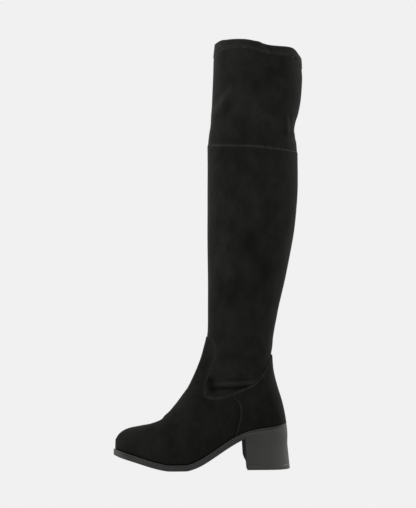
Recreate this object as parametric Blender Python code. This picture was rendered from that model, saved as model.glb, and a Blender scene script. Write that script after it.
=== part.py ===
"""Thigh high boot on a block heel, built for the left foot.

Metres, +Z up. The toe points to -X and the outer side of the foot to -Y.
The origin is the centre of the heel's ground face, on the floor.
"""

import math
from bisect import bisect_right
from collections import namedtuple

import bmesh
import bpy
from mathutils import Vector

# Driving sizes of the sole
SOLE_LENGTH = 0.2480
HEEL_BACK = 0.0268
BALL_WIDTH = 0.082
TOE_SPRING = 0.0215
SOLE_EDGE = 0.0087
TOE_ROUND = 0.060
HEEL_ROUND = 0.0285
SPRING_POWER = 1.24

# Driving sizes of the heel
HEEL_RISE = 0.0575
HEEL_BREAST = -0.0358
HEEL_FLOOR_BREAST = -0.0331
HEEL_FLOOR_BACK = 0.0318
HEEL_FLOOR_FLARE = 0.0006
BREAST_HOLLOW = 0.0016
BREAST_SHARES = (0.6, 0.2, -0.2, -0.6)
LIFT_HEIGHT = 0.0060
LIFT_SOFTENING = 0.0004
LIFT_SOFT_TO = 0.1
HEEL_LEVELS = (0.4, 0.7, 1.0)

# Driving sizes of the leg
INSTEP_HEIGHT = 0.1655
ANKLE_FRONT = -0.0889
ANKLE_FRONT_HEIGHT = 0.1992
ANKLE_BACK_HEIGHT = 0.1573
ANKLE_DEPTH = 0.0944
ANKLE_WIDTH = 0.0672
SHIN_FRONT = -0.0890
CALF_DEPTH = 0.1335
CALF_WIDTH = 0.101
BOOT_HEIGHT = 0.6152
KNEE_HEIGHT = 0.4645
BAND_HEIGHT = 0.0105

# Walls and layers
UPPER_WALL = 0.0020
SHAFT_WALL = 0.0016
BAND_WALL = 0.0024
COUNTER_LAYER = 0.0010
COUNTER_DROP = 0.0012
INSOLE_LAYER = 0.0030
INSOLE_FIT = 0.0013
SHAFT_INSET = 0.0012
PANEL_INSET = 0.0020
UPPER_MARGIN = 0.0016
GROOVE_DEPTH = 0.0006
EDGE_SOFTENING = 0.0010
GAP = 0.0003
FEATHER_GAP = 0.0004

# Mesh fineness
FOOT_SPAN = 16
TAB_COLUMNS = 4
FEATHER_COLUMNS = 10
SIDE_COLUMNS = 12
FOOT_RINGS = 22
TAB_RINGS = 7
NOTCH_RINGS = 7
NOTCH_CLEAR = 2.5
SHAFT_RINGS = 15
PANEL_RINGS = 9
BAND_RINGS = 2
SOLE_STATIONS = 44
STATION_CLEAR = 0.3
HEEL_ARC = 14
SEAM_CROWDING = 0.85
MERGE = 0.000002
CUT_MERGE = 0.00001

# Search limits, in sections and turns of the form
HALVINGS = 26
CORNER_FROM = 0.55
CORNER_PAST = 2.0
TAB_PAST = 9.0
TAB_TURN_LIMIT = 0.75
ANKLE_PAST = 3.0
CALF_BEFORE = 9.0
TURN_STEP = 0.01
NEAR_TURN = 0.004
NEAR_PLACE = 0.02
ON_RIDGE = 0.00001
AT_SEAT = 0.999
SLOPE_REACH = 0.004

# How far round a section its front reaches full width
FRONT_TURN = 0.5
FRONT_TURN_OPEN = 0.45

# Sole outline: share of the length from the heel, shares of the ball width
OutlineRow = namedtuple("OutlineRow", "along half centre")
OUTLINE = [
    OutlineRow(0.00, 0.348, 0.000),
    OutlineRow(0.11, 0.354, 0.000),
    OutlineRow(0.25, 0.348, 0.000),
    OutlineRow(0.34, 0.345, -0.010),
    OutlineRow(0.43, 0.372, -0.022),
    OutlineRow(0.53, 0.440, -0.012),
    OutlineRow(0.63, 0.490, 0.006),
    OutlineRow(0.70, 0.500, 0.018),
    OutlineRow(0.79, 0.484, 0.034),
    OutlineRow(0.88, 0.450, 0.046),
    OutlineRow(1.00, 0.410, 0.055),
]

# Arch: share of the way from the flat ball to the heel back, share of the rise
ArchRow = namedtuple("ArchRow", "along rise")
ARCH = [
    ArchRow(0.00, 0.000),
    ArchRow(0.08, 0.056),
    ArchRow(0.17, 0.165),
    ArchRow(0.27, 0.322),
    ArchRow(0.37, 0.487),
    ArchRow(0.46, 0.630),
    ArchRow(0.52, 0.715),
    ArchRow(0.61, 0.812),
    ArchRow(0.73, 0.882),
    ArchRow(0.82, 0.914),
    ArchRow(0.92, 0.952),
    ArchRow(1.00, 1.000),
]
FLAT_FROM = 0.590
FLAT_TO = 0.704

# Foot sections fan out from toe to heel: share of the fan, then the ridge point
# as shares of sole length and instep height, and the half width by ball width
FootRow = namedtuple("FootRow", "fan ridge_along ridge_height half")
FOOT = [
    FootRow(0.0000, 0.9940, 0.2530, 0.402),
    FootRow(0.0625, 0.9850, 0.2880, 0.408),
    FootRow(0.1250, 0.9550, 0.3335, 0.418),
    FootRow(0.1875, 0.9090, 0.3630, 0.434),
    FootRow(0.2500, 0.8470, 0.3800, 0.455),
    FootRow(0.3125, 0.7740, 0.4070, 0.479),
    FootRow(0.3750, 0.7065, 0.4710, 0.492),
    FootRow(0.4375, 0.6570, 0.5450, 0.470),
    FootRow(0.5000, 0.6190, 0.6200, 0.430),
    FootRow(0.5625, 0.5900, 0.6820, 0.396),
    FootRow(0.6250, 0.5680, 0.7370, 0.378),
    FootRow(0.6875, 0.5500, 0.7890, 0.373),
    FootRow(0.7500, 0.5350, 0.8360, 0.372),
    FootRow(0.8125, 0.5230, 0.8790, 0.374),
    FootRow(0.8750, 0.5120, 0.9200, 0.378),
    FootRow(0.9375, 0.5030, 0.9590, 0.382),
    FootRow(1.0000, 0.4950, 1.0000, 0.386),
]

# Ankle sections: shares of the way from the last foot section to the ankle
AnkleRow = namedtuple("AnkleRow", "front_in front_up back_in back_up widen turn")
ANKLE = [
    AnkleRow(0.18, 0.16, 0.09, 0.12, 0.14, 0.26),
    AnkleRow(0.38, 0.33, 0.26, 0.31, 0.30, 0.30),
    AnkleRow(0.60, 0.49, 0.50, 0.48, 0.46, 0.34),
    AnkleRow(0.78, 0.65, 0.75, 0.66, 0.62, 0.38),
    AnkleRow(0.92, 0.82, 0.94, 0.84, 0.80, 0.42),
    AnkleRow(1.00, 1.00, 1.00, 1.00, 1.00, 0.45),
]

# Leg sections: height share from ankle to collar, share of the ankle's tilt,
# front and back as shares of the calf depth, half width by calf width
LegRow = namedtuple("LegRow", "up tilt front back half turn")
LEG = [
    LegRow(0.0264, 0.82, 0.003, 0.713, 0.339, 0.46),
    LegRow(0.0597, 0.65, 0.004, 0.732, 0.350, 0.47),
    LegRow(0.1106, 0.40, 0.004, 0.769, 0.368, 0.49),
    LegRow(0.1654, 0.30, 0.003, 0.810, 0.394, 0.50),
    LegRow(0.2243, 0.23, 0.002, 0.858, 0.419, 0.50),
    LegRow(0.2926, 0.14, 0.001, 0.908, 0.446, 0.50),
    LegRow(0.3650, 0.07, 0.000, 0.953, 0.469, 0.50),
    LegRow(0.4403, 0.00, 0.000, 0.986, 0.489, 0.50),
    LegRow(0.5186, 0.00, 0.000, 1.000, 0.500, 0.50),
    LegRow(0.6007, 0.00, -0.001, 0.999, 0.505, 0.50),
    LegRow(0.6556, 0.00, -0.002, 0.995, 0.507, 0.50),
    LegRow(0.7014, 0.00, 0.014, 0.976, 0.515, 0.50),
    LegRow(0.7493, 0.00, 0.039, 1.002, 0.533, 0.50),
    LegRow(0.8040, 0.00, 0.045, 1.039, 0.550, 0.50),
    LegRow(0.8636, 0.00, 0.052, 1.051, 0.563, 0.50),
    LegRow(0.9183, 0.00, 0.059, 1.057, 0.570, 0.50),
    LegRow(1.0200, 0.00, 0.063, 1.054, 0.574, 0.50),
]

# Seams seen from the side: place along, as a share from front to back of the
# ankle or calf, and height as a share of the named height of the seam
SeamRow = namedtuple("SeamRow", "along height")
TAB_TOP_HEIGHT = 0.1905
TAB_CORNER_HEIGHT = 0.103
SIDE_SEAM_RISE = 0.063
SIDE_SEAM = [
    SeamRow(-0.10, 0.05),
    SeamRow(0.04, 0.00),
    SeamRow(0.16, 0.00),
    SeamRow(0.31, 0.07),
    SeamRow(0.46, 0.17),
    SeamRow(0.61, 0.27),
    SeamRow(0.75, 0.40),
    SeamRow(0.88, 0.66),
    SeamRow(1.00, 0.98),
    SeamRow(1.20, 1.20),
]
TAB_TOP = [
    SeamRow(-0.02, 0.000),
    SeamRow(0.02, -0.015),
    SeamRow(0.05, -0.050),
    SeamRow(0.10, -0.120),
]
TAB_EDGE = [
    SeamRow(-0.060, 0.00),
    SeamRow(-0.058, 0.05),
    SeamRow(-0.045, 0.13),
    SeamRow(-0.010, 0.28),
    SeamRow(0.030, 0.42),
    SeamRow(0.072, 0.57),
    SeamRow(0.100, 0.70),
    SeamRow(0.102, 0.81),
    SeamRow(0.082, 0.91),
    SeamRow(0.055, 1.00),
]
KNEE_SEAM_FALL = 0.010
KNEE_SEAM = [
    SeamRow(0.00, 0.20),
    SeamRow(0.08, 0.05),
    SeamRow(0.30, -0.05),
    SeamRow(0.52, -0.22),
    SeamRow(0.74, -0.50),
    SeamRow(1.00, -0.85),
]
COLLAR_FALL = 0.010
COLLAR_LINE = [
    SeamRow(0.05, -1.10),
    SeamRow(0.08, -0.55),
    SeamRow(0.12, -0.17),
    SeamRow(0.16, -0.02),
    SeamRow(0.24, 0.00),
    SeamRow(0.37, -0.06),
    SeamRow(0.45, -0.24),
    SeamRow(0.53, -0.55),
    SeamRow(0.62, -0.93),
    SeamRow(0.71, -1.03),
    SeamRow(0.90, -1.05),
    SeamRow(0.96, -1.30),
    SeamRow(1.01, -2.00),
    SeamRow(1.06, -2.60),
]

# Sole edge from the ground up: shares of the softening and the groove depth
# that it is drawn in by, and the share of the edge's height
EdgeRow = namedtuple("EdgeRow", "softening groove level")
SOLE_EDGE_ROWS = [
    EdgeRow(1.0, 0.0, 0.00),
    EdgeRow(0.0, 0.0, 0.12),
    EdgeRow(0.0, 0.0, 0.66),
    EdgeRow(0.0, 1.0, 0.69),
    EdgeRow(0.0, 1.0, 0.74),
    EdgeRow(0.0, 0.0, 0.77),
    EdgeRow(0.0, 0.0, 0.95),
    EdgeRow(0.5, 0.0, 1.00),
]

# Counter's front edge: height share from feather to seam, share of its lean
COUNTER_LEAN = 0.010
COUNTER_FRONT = -0.0515
COUNTER_LINE = [
    SeamRow(0.00, 0.00),
    SeamRow(0.20, 0.33),
    SeamRow(0.45, 0.75),
    SeamRow(0.70, 0.89),
    SeamRow(0.86, 0.74),
    SeamRow(1.00, -0.10),
]

Section = namedtuple("Section", "front back half centre openness turn")


def curve(points):
    """A smooth line through (place, value) points that never overshoots them."""
    places, values = zip(*points)
    steps = [after - before for before, after in zip(places, places[1:])]
    climbs = [(b - a) / step for a, b, step in zip(values, values[1:], steps)]
    slopes = [climbs[0]]
    for before, after in zip(climbs, climbs[1:]):
        same_way = before * after > 0.0
        slopes.append(2.0 * before * after / (before + after) if same_way else 0.0)
    slopes.append(climbs[-1])

    def value(place):
        index = min(max(bisect_right(places, place) - 1, 0), len(steps) - 1)
        step = steps[index]
        share = min(max((place - places[index]) / step, 0.0), 1.0)
        rest = 1.0 - share
        start = values[index] * (1.0 + 2.0 * share) * rest * rest
        end = values[index + 1] * (3.0 - 2.0 * share) * share * share
        bend = slopes[index] * share * rest * rest - slopes[index + 1] * share * share * rest
        return start + end + bend * step

    return value


def crossing(gap_at, low, high):
    """The place between low and high where gap_at changes sign."""
    rising = gap_at(low) < gap_at(high)
    for _ in range(HALVINGS):
        middle = 0.5 * (low + high)
        if (gap_at(middle) < 0.0) == rising:
            low = middle
        else:
            high = middle
    return 0.5 * (low + high)


def blend(start, end, share):
    return start + (end - start) * share


def dome(share):
    """A round end: 0 at the edge, 1 from one full turn inwards."""
    inward = 1.0 - min(max(share, 0.0), 1.0)
    return math.sqrt(max(1.0 - inward * inward, 0.0))


outline_half = curve([(row.along, row.half) for row in OUTLINE])
outline_centre = curve([(row.along, row.centre) for row in OUTLINE])
arch_rise = curve([(row.along, row.rise) for row in ARCH])


def at_share(share):
    """The X place at a share of the sole length, counted from the heel."""
    return HEEL_BACK - share * SOLE_LENGTH


def sole_outline(x, margin=0.0):
    """Half width and centre line of the sole, drawn in by a margin."""
    along = (HEEL_BACK - x) / SOLE_LENGTH
    toe = dome((x - at_share(1.0) - margin) / TOE_ROUND)
    heel = dome((HEEL_BACK - margin - x) / HEEL_ROUND)
    half = (BALL_WIDTH * outline_half(along) - margin) * toe * heel
    return half, BALL_WIDTH * outline_centre(along)


def sole_bottom(x):
    """Height of the underside: toe spring, flat ball, arch and heel seat."""
    along = (HEEL_BACK - x) / SOLE_LENGTH
    if along > FLAT_TO:
        share = min((along - FLAT_TO) / (1.0 - FLAT_TO), 1.0)
        return TOE_SPRING * share**SPRING_POWER
    return HEEL_RISE * arch_rise((FLAT_FROM - along) / FLAT_FROM)


def sole_top(x):
    """Height of the feather edge, one edge thickness above the underside."""
    rise = sole_bottom(x + SLOPE_REACH) - sole_bottom(x - SLOPE_REACH)
    slope = rise / (2.0 * SLOPE_REACH)
    return sole_bottom(x) + SOLE_EDGE * math.hypot(1.0, slope)


def foot_seat(fan):
    """The feather point of a foot section, closer together at toe and heel."""
    toe = at_share(1.0) + UPPER_MARGIN
    heel = HEEL_BACK - UPPER_MARGIN
    x = blend(toe, heel, 0.5 - 0.5 * math.cos(math.pi * fan))
    return x, sole_top(x) + FEATHER_GAP


def ridge_point(row):
    return at_share(row.ridge_along), row.ridge_height * INSTEP_HEIGHT


def leg_rows():
    """Place, front, back, half width and turn of every section above the seat."""
    front_x, front_z = ridge_point(FOOT[-1])
    back_x, back_z = foot_seat(1.0)
    half = FOOT[-1].half * BALL_WIDTH
    rows = []
    for row in ANKLE:
        front = (
            blend(front_x, ANKLE_FRONT, row.front_in),
            blend(front_z, ANKLE_FRONT_HEIGHT, row.front_up),
        )
        back = (
            blend(back_x, ANKLE_FRONT + ANKLE_DEPTH, row.back_in),
            blend(back_z, ANKLE_BACK_HEIGHT, row.back_up),
        )
        rows.append((front, back, blend(half, 0.5 * ANKLE_WIDTH, row.widen), row.turn))
    middle = 0.5 * (ANKLE_FRONT_HEIGHT + ANKLE_BACK_HEIGHT)
    lean = 0.5 * (ANKLE_FRONT_HEIGHT - ANKLE_BACK_HEIGHT)
    for row in LEG:
        height = blend(middle, BOOT_HEIGHT, row.up)
        front = (SHIN_FRONT + row.front * CALF_DEPTH, height + lean * row.tilt)
        back = (SHIN_FRONT + row.back * CALF_DEPTH, height - lean * row.tilt)
        rows.append((front, back, row.half * CALF_WIDTH, row.turn))
    return rows


LEG_ROWS = leg_rows()
LAST_SECTION = FOOT_SPAN + len(LEG_ROWS)
FOOT_TURN = 0.22


def tracks():
    """Smooth lines for each value of the sections, from toe to collar."""
    ridge = [(row.fan * FOOT_SPAN, ridge_point(row)) for row in FOOT]
    halves = [(row.fan * FOOT_SPAN, row.half * BALL_WIDTH) for row in FOOT]
    turns = [(0.0, FOOT_TURN), (float(FOOT_SPAN), FOOT_TURN)]
    backs = [(float(FOOT_SPAN), foot_seat(1.0))]
    for step, (front, back, half, turn) in enumerate(LEG_ROWS, FOOT_SPAN + 1):
        ridge.append((step, front))
        halves.append((step, half))
        turns.append((step, turn))
        backs.append((step, back))
    return {
        "front_x": curve([(place, point[0]) for place, point in ridge]),
        "front_z": curve([(place, point[1]) for place, point in ridge]),
        "back_x": curve([(place, point[0]) for place, point in backs]),
        "back_z": curve([(place, point[1]) for place, point in backs]),
        "half": curve(halves),
        "turn": curve(turns),
    }


TRACKS = tracks()


def section(place):
    """One section of the last: its ends in the side view and its widths."""
    front = (TRACKS["front_x"](place), TRACKS["front_z"](place))
    half = TRACKS["half"](place)
    turn = TRACKS["turn"](place)
    if place >= FOOT_SPAN:
        back = (TRACKS["back_x"](place), TRACKS["back_z"](place))
        return Section(front, back, half, 0.0, 0.0, turn)
    back = foot_seat(place / FOOT_SPAN)
    seat_half, centre = sole_outline(back[0], UPPER_MARGIN)
    half *= dome((back[0] - at_share(1.0) - UPPER_MARGIN) / TOE_ROUND)
    openness = min(seat_half / half, 1.0) if half > 0.0 else 1.0
    return Section(front, back, half, centre, openness, turn)


def side_point(place, turn):
    """Side view point and reach to the side, from ridge (0) to seat or back (1)."""
    cut = section(place)
    arch = 1.0 - math.cos(0.5 * math.pi * turn)
    oval = 0.5 - 0.5 * math.cos(math.pi * turn)
    share = blend(oval, arch, cut.openness)
    front_turn = FRONT_TURN + FRONT_TURN_OPEN * cut.openness
    back = blend(cut.openness, 1.0, dome((1.0 - share) / cut.turn))
    reach = cut.half * dome(share / front_turn) * back
    x = blend(cut.front[0], cut.back[0], share)
    z = blend(cut.front[1], cut.back[1], share)
    return x, z, cut.centre, reach


def form_point(place, turn, side):
    x, z, centre, reach = side_point(place, turn)
    return Vector((x, centre + side * reach, z))


ankle_side = curve([(row.along, row.height) for row in SIDE_SEAM])
tab_side = curve([(row.along, row.height) for row in TAB_TOP])
tab_reach = curve([(row.height, row.along) for row in TAB_EDGE])
knee_side = curve([(row.along, row.height) for row in KNEE_SEAM])
collar_side = curve([(row.along, row.height) for row in COLLAR_LINE])
counter_side = curve([(row.along, row.height) for row in COUNTER_LINE])


def side_seam(x):
    """Height of the seam that closes the foot part under the ankle."""
    along = (x - ANKLE_FRONT) / ANKLE_DEPTH
    return TAB_CORNER_HEIGHT + SIDE_SEAM_RISE * ankle_side(along)


def tab_top(x):
    along = (x - ANKLE_FRONT) / ANKLE_DEPTH
    return TAB_TOP_HEIGHT + (TAB_TOP_HEIGHT - TAB_CORNER_HEIGHT) * tab_side(along)


def tab_edge(z):
    """X place of the tab's side edge at a height."""
    up = (z - TAB_CORNER_HEIGHT) / (TAB_TOP_HEIGHT - TAB_CORNER_HEIGHT)
    return ANKLE_FRONT + ANKLE_DEPTH * tab_reach(up)


def knee_seam(x):
    along = (x - SHIN_FRONT) / CALF_DEPTH
    return KNEE_HEIGHT + KNEE_SEAM_FALL * knee_side(along)


def collar_line(x):
    along = (x - SHIN_FRONT) / CALF_DEPTH
    return BOOT_HEIGHT + COLLAR_FALL * collar_side(along)


def counter_line(z):
    """X place of the counter's front edge at a height."""
    low = sole_top(COUNTER_FRONT)
    up = (z - low) / (TAB_CORNER_HEIGHT - low)
    return COUNTER_FRONT + COUNTER_LEAN * counter_side(up)


def edge_turn(place):
    """How far round a section the tab's side edge lies."""

    def gap_at(turn):
        x, z, _, _ = side_point(place, turn)
        return x - tab_edge(z)

    return crossing(gap_at, 0.0, TAB_TURN_LIMIT)


def corner_gap(place):
    x, z, _, _ = side_point(place, edge_turn(place))
    return z - side_seam(x)


def tab_top_gap(place):
    x, z, _, _ = side_point(place, edge_turn(place))
    return z - tab_top(x)


CORNER_PLACE = crossing(corner_gap, CORNER_FROM * FOOT_SPAN, FOOT_SPAN + CORNER_PAST)
TAB_PLACE = crossing(tab_top_gap, CORNER_PLACE, FOOT_SPAN + TAB_PAST)
CORNER_TURN = edge_turn(CORNER_PLACE)
TAB_TURN = edge_turn(TAB_PLACE)


def notch_turn(place):
    """Where the shaft's notch lies round a section, one gap behind the tab."""
    turn = edge_turn(place)
    advance = side_point(place, turn + TURN_STEP)[0] - side_point(place, turn)[0]
    return turn + TURN_STEP * GAP / max(advance, GAP)


def column_turn(column, edge, columns):
    """Place round a section of one mesh column, for the tab edge's own place."""
    if column <= TAB_COLUMNS:
        return edge * column / TAB_COLUMNS
    return blend(edge, 1.0, (column - TAB_COLUMNS) / columns)


def reach_line(turn, line, low, high, raise_by=0.0):
    """The section place where a mesh column meets a line of the side view."""

    def gap_at(place):
        x, z, _, _ = side_point(place, turn)
        return z - raised(line, x, raise_by)

    return crossing(gap_at, low, high)


def raised(line, x, raise_by):
    """Height of a line of the side view, moved square to itself."""
    slope = (line(x + GAP) - line(x - GAP)) / (2.0 * GAP)
    return line(x) + raise_by * math.hypot(1.0, slope)


def locate(x, z):
    """The place and turn of the form at a point of the side view."""

    def turn_at(place):
        return crossing(lambda turn: side_point(place, turn)[0] - x, 0.0, 1.0)

    high = ABOVE_ANKLE + NOTCH_CLEAR
    place = crossing(lambda place: side_point(place, turn_at(place))[1] - z, 0.0, high)
    return place, turn_at(place)


def seam_points(corner, raise_by):
    """Form points spread along the side seam, from the tab's corner to the back."""
    back = reach_line(1.0, side_seam, FOOT_SPAN, ABOVE_ANKLE, raise_by)
    first_x = side_point(*corner)[0]
    last_x = side_point(back, 1.0)[0]
    points = [corner]
    for step in range(1, SIDE_COLUMNS):
        share = step / SIDE_COLUMNS
        share = blend(share, math.sin(0.5 * math.pi * share), SEAM_CROWDING)
        x = blend(first_x, last_x, share)
        points.append(locate(x, raised(side_seam, x, raise_by)))
    return points + [(back, 1.0)]


def fill(bottom, top, left, right):
    """Rows of form points that fill the space between four edges."""
    rows = []
    for ring, (start, end) in enumerate(zip(left, right)):
        up = ring / (len(left) - 1)
        row = []
        for column, (low, high) in enumerate(zip(bottom, top)):
            along = column / (len(bottom) - 1)
            point = []
            for axis in (0, 1):
                between = blend(low[axis], high[axis], up) + blend(start[axis], end[axis], along)
                low_corners = blend(bottom[0][axis], bottom[-1][axis], along)
                high_corners = blend(top[0][axis], top[-1][axis], along)
                point.append(between - blend(low_corners, high_corners, up))
            row.append(tuple(point))
        rows.append(row)
    return rows


def seen(points):
    return [side_point(*point)[:2] for point in points]


def side_fill(bottom, top, left, right):
    """Rows of form points whose spacing is even in the side view."""
    view = fill(seen(bottom), seen(top), seen(left), seen(right))
    rows = [bottom]
    for start, inside, end in zip(left[1:-1], view[1:-1], right[1:-1]):
        rows.append([start] + [locate(*point) for point in inside[1:-1]] + [end])
    return rows + [top]


FRONT_COLUMNS = range(TAB_COLUMNS + 1)
FOOT_COLUMNS = range(TAB_COLUMNS + FEATHER_COLUMNS + 1)
LEG_COLUMNS = range(TAB_COLUMNS + SIDE_COLUMNS + 1)
ABOVE_ANKLE = FOOT_SPAN + len(ANKLE) + ANKLE_PAST
ABOVE_CALF = LAST_SECTION - CALF_BEFORE


def form_outward(place, turn, side):
    """Direction straight out of the form, level along the feather edge."""
    near, far = max(turn - NEAR_TURN, 0.0), min(turn + NEAR_TURN, 1.0)
    low, high = max(place - NEAR_PLACE, 0.0), min(place + NEAR_PLACE, LAST_SECTION)
    across = form_point(place, far, side) - form_point(place, near, side)
    along = form_point(high, turn, side) - form_point(low, turn, side)
    outward = across.cross(along) * -side
    if side_point(place, turn)[3] < ON_RIDGE:
        outward.y = 0.0
    if turn > AT_SEAT and place <= FOOT_SPAN:
        outward.z = 0.0
    return outward.normalized()


def add_patch(mesh, rows):
    """Triangles through rows of (place, turn) points, on both sides of the boot."""
    outward = mesh.verts.layers.float_vector["outward"]
    for side in (-1.0, 1.0):
        grid = []
        for row in rows:
            grid.append([mesh.verts.new(form_point(p, t, side)) for p, t in row])
            for vert, (place, turn) in zip(grid[-1], row):
                vert[outward] = form_outward(place, turn, side)
        for low, high in zip(grid, grid[1:]):
            for a, b, c, d in zip(low, low[1:], high[1:], high):
                for corners in ((a, b, c), (a, c, d)):
                    mesh.faces.new(corners if side < 0.0 else corners[::-1])


def shell(*patches):
    """One open shell of the form from patches that share their edge points."""
    mesh = bmesh.new()
    mesh.verts.layers.float_vector.new("outward")
    for rows in patches:
        add_patch(mesh, rows)
    bmesh.ops.remove_doubles(mesh, verts=mesh.verts, dist=MERGE)
    bmesh.ops.dissolve_degenerate(mesh, edges=mesh.edges, dist=MERGE)
    outward = mesh.verts.layers.float_vector["outward"]
    mesh.normal_update()
    for vert in mesh.verts:
        if not vert.is_boundary:
            vert[outward] = vert.normal
    return mesh


def on_feather(vert):
    """Whether an edge vertex lies on the line where upper and sole meet."""
    above = vert.co.z - sole_top(vert.co.x) - FEATHER_GAP
    return vert.is_boundary and abs(above) < 0.5 * GAP


def hollow(mesh, inset, wall):
    """Turns a shell into a wall that lies inset below the form's surface."""
    outward = mesh.verts.layers.float_vector["outward"]
    outer_faces = list(mesh.faces)
    rim = [edge for edge in mesh.edges if edge.is_boundary]
    feather = {vert for vert in mesh.verts if on_feather(vert)}
    inner = {}
    for vert in list(mesh.verts):
        direction = vert[outward].normalized()
        inner[vert] = mesh.verts.new(vert.co - direction * (inset + wall))
        vert.co -= direction * inset
        if vert in feather:
            inner[vert].co.z = sole_top(inner[vert].co.x) + FEATHER_GAP
            vert.co.z = sole_top(vert.co.x) + FEATHER_GAP
    for face in outer_faces:
        mesh.faces.new([inner[vert] for vert in reversed(face.verts)])
    for edge in rim:
        loop = edge.link_loops[0]
        start, end = loop.vert, loop.link_loop_next.vert
        mesh.faces.new((end, start, inner[start], inner[end]))


def material(name, color, roughness):
    made = bpy.data.materials.new(name)
    made.use_nodes = True
    shader = made.node_tree.nodes["Principled BSDF"]
    shader.inputs["Base Color"].default_value = (*color, 1.0)
    shader.inputs["Roughness"].default_value = roughness
    shader.inputs["Metallic"].default_value = 0.0
    made.diffuse_color = (*color, 1.0)
    return made


SUEDE = (0.013, 0.013, 0.012)
RUBBER = (0.038, 0.037, 0.036)
BOARD = (0.030, 0.028, 0.025)
SUEDE_ROUGHNESS = 0.95
SOLE_ROUGHNESS = 0.62
HEEL_ROUGHNESS = 0.5
BOARD_ROUGHNESS = 0.9


def finish(mesh, name, color, roughness):
    """Makes the named object from a finished mesh."""
    data = bpy.data.meshes.new(name)
    mesh.to_mesh(data)
    mesh.free()
    data.materials.append(material(name, color, roughness))
    made = bpy.data.objects.new(name, data)
    bpy.context.scene.collection.objects.link(made)
    return made


def foot_rows():
    """Rings of the forefoot, from the toe to the tab's corner."""
    turns = [column_turn(column, CORNER_TURN, FEATHER_COLUMNS) for column in FOOT_COLUMNS]
    rows = []
    for ring in range(FOOT_RINGS + 1):
        place = CORNER_PLACE * ring / FOOT_RINGS
        rows.append([(place, turn) for turn in turns])
    return rows


def heel_rows():
    """Rings of the quarters, from the feather edge up to the side seam."""
    top = seam_points((CORNER_PLACE, CORNER_TURN), 0.0)
    shares = [step / FEATHER_COLUMNS for step in range(FEATHER_COLUMNS + 1)]
    left = [(CORNER_PLACE, blend(1.0, CORNER_TURN, share)) for share in shares]
    right = [(blend(FOOT_SPAN, top[-1][0], share), 1.0) for share in shares]
    steps = [step / SIDE_COLUMNS for step in range(SIDE_COLUMNS + 1)]
    bottom = [(blend(CORNER_PLACE, FOOT_SPAN, step), 1.0) for step in steps]
    return side_fill(bottom, top, left, right)


def tab_rows():
    """Rings of the tab that runs up the shin above the side seam."""
    top_turns = [column_turn(column, TAB_TURN, 1) for column in FRONT_COLUMNS]
    tops = [reach_line(turn, tab_top, CORNER_PLACE, ABOVE_ANKLE) for turn in top_turns]
    rows = []
    for ring in range(TAB_RINGS + 1):
        places = [blend(CORNER_PLACE, top, ring / TAB_RINGS) for top in tops]
        edge = edge_turn(places[TAB_COLUMNS])
        turns = [column_turn(column, edge, 1) for column in FRONT_COLUMNS]
        rows.append(list(zip(places, turns)))
    return rows


def build_upper():
    mesh = shell(foot_rows(), heel_rows(), tab_rows())
    hollow(mesh, 0.0, UPPER_WALL)
    return finish(mesh, "upper", SUEDE, SUEDE_ROUGHNESS)


def cut_back(mesh, axis, line, keep_above):
    """Cuts a shell along a line of the side view and keeps one side of it."""
    other = 2 - axis
    for vert in mesh.verts:
        vert.co[axis] -= line(vert.co[other])
    normal = [0.0, 0.0, 0.0]
    normal[axis] = 1.0 if keep_above else -1.0
    bmesh.ops.bisect_plane(
        mesh,
        geom=list(mesh.verts) + list(mesh.edges) + list(mesh.faces),
        dist=CUT_MERGE,
        plane_co=(0.0, 0.0, 0.0),
        plane_no=normal,
        clear_inner=True,
    )
    for vert in mesh.verts:
        vert.co[axis] += line(vert.co[other])
    bmesh.ops.triangulate(mesh, faces=mesh.faces)


def build_counter():
    """The heel overlay: the foot part's own surface behind the counter line."""
    mesh = shell(foot_rows(), heel_rows())
    cut_back(mesh, 0, counter_line, True)
    cut_back(mesh, 2, lambda x: side_seam(x) - COUNTER_DROP, False)
    hollow(mesh, -GAP - COUNTER_LAYER, COUNTER_LAYER)
    return finish(mesh, "counter", SUEDE, SUEDE_ROUGHNESS)


def notch_point(place):
    return place, notch_turn(place)


def build_shaft():
    """The leg from the ankle to the knee seam, notched round the tab."""
    corner_z = side_point(CORNER_PLACE, CORNER_TURN)[1]
    corner_place = crossing(
        lambda place: side_point(*notch_point(place))[1] - corner_z - GAP,
        CORNER_PLACE - 1.0,
        TAB_PLACE,
    )
    tab_place = reach_line(TAB_TURN, tab_top, CORNER_PLACE, ABOVE_ANKLE, GAP)
    turns = [column_turn(c, notch_turn(tab_place), SIDE_COLUMNS) for c in LEG_COLUMNS]
    full = [reach_line(t, tab_top, CORNER_PLACE, ABOVE_ANKLE, GAP) for t in turns]
    bottom = seam_points(notch_point(corner_place), GAP)
    side_place = full[TAB_COLUMNS]
    back_place = bottom[-1][0] + NOTCH_CLEAR
    for step in range(1, SIDE_COLUMNS + 1):
        full[TAB_COLUMNS + step] = blend(side_place, back_place, step / SIDE_COLUMNS)
    top = list(zip(full, turns))[TAB_COLUMNS:]
    shares = [step / NOTCH_RINGS for step in range(NOTCH_RINGS + 1)]
    left = [notch_point(blend(corner_place, side_place, share)) for share in shares]
    left[-1] = top[0]
    right = [(blend(bottom[-1][0], back_place, share), 1.0) for share in shares]
    ends = [reach_line(t, knee_seam, ABOVE_CALF, LAST_SECTION, -0.5 * GAP) for t in turns]
    leg = []
    for ring in range(SHAFT_RINGS + 1):
        places = [blend(low, high, ring / SHAFT_RINGS) for low, high in zip(full, ends)]
        leg.append(list(zip(places, turns)))
    mesh = shell(side_fill(bottom, top, left, right), leg)
    hollow(mesh, SHAFT_INSET, SHAFT_WALL)
    return finish(mesh, "shaft", SUEDE, SUEDE_ROUGHNESS)


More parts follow.
